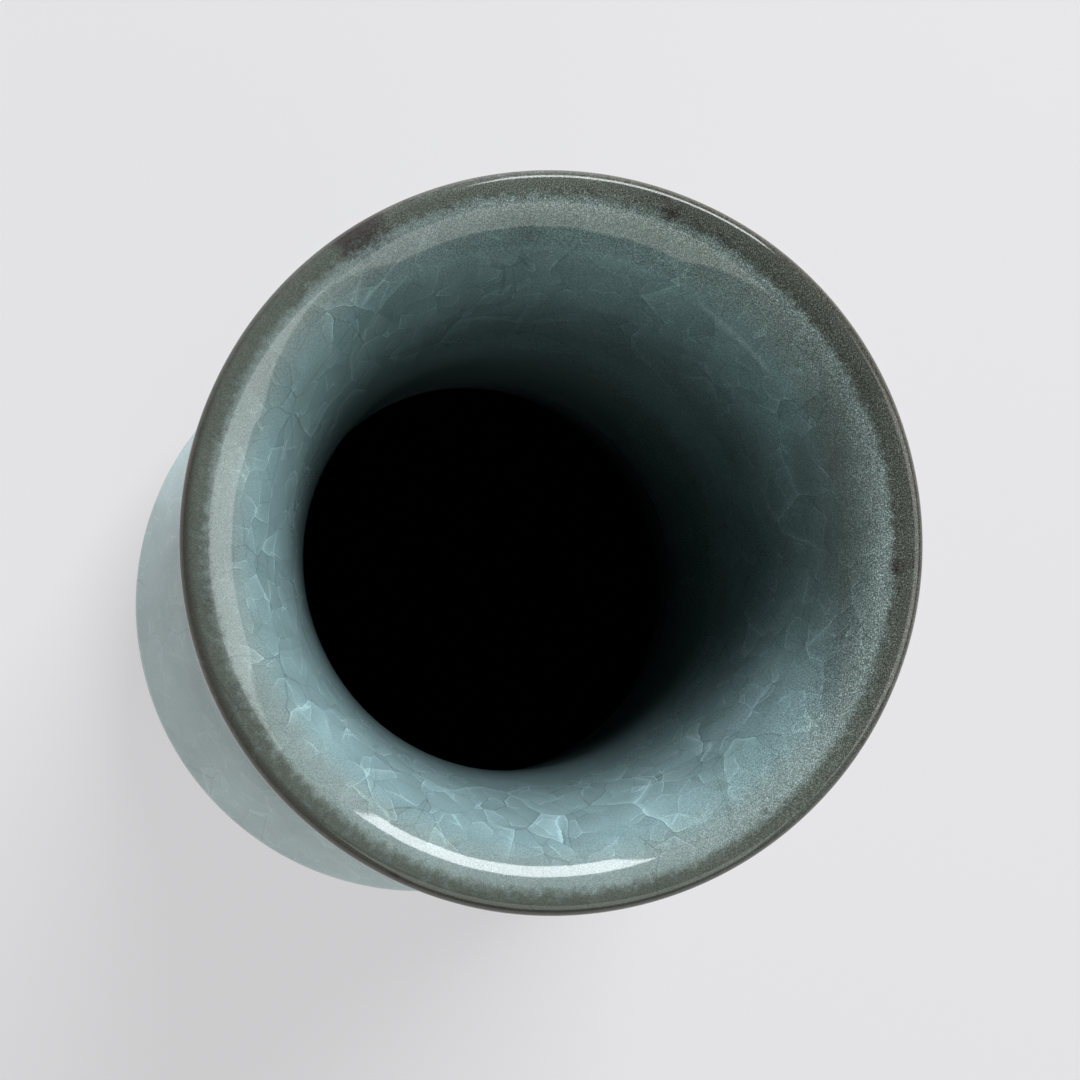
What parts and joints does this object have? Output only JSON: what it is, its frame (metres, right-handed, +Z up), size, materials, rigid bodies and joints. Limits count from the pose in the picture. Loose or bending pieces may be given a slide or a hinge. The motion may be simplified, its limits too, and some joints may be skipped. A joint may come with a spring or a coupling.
{
  "type": "brush pot",
  "caption": "Waisted ceramic pot with a flared rolled mouth, a deep well that widens below the neck, a spreading foot and a recessed foot ring, for holding writing brushes.",
  "frame": {"origin": "centre of the foot, in the plane that the pot stands on", "axes": "+Z up the pot's axis; the pot is round, so +X and +Y are any two directions square to it"},
  "size_m": [0.1052, 0.1052, 0.148],
  "materials": {
    "body_clay": "bare fired stoneware, matt, never seen",
    "foot_clay": "bare iron-brown stoneware, dry and slightly gritty",
    "celadon": "glossy blue-green celadon with a pale crackle and fine bubbles",
    "lip_brown": "glossy thin glaze over iron-bearing clay, olive brown",
    "well_dark": "thin dark blue-green glaze over iron slip, satin"
  },
  "bodies": {
    "root": {"body_wall": "body_clay", "floor_disc": "body_clay", "foot_ring": "foot_clay", "outer_glaze": "celadon", "lip_glaze": "lip_brown", "mouth_glaze": "celadon", "well_glaze": "well_dark", "base_glaze": "celadon"}
  },
  "joints": []
}
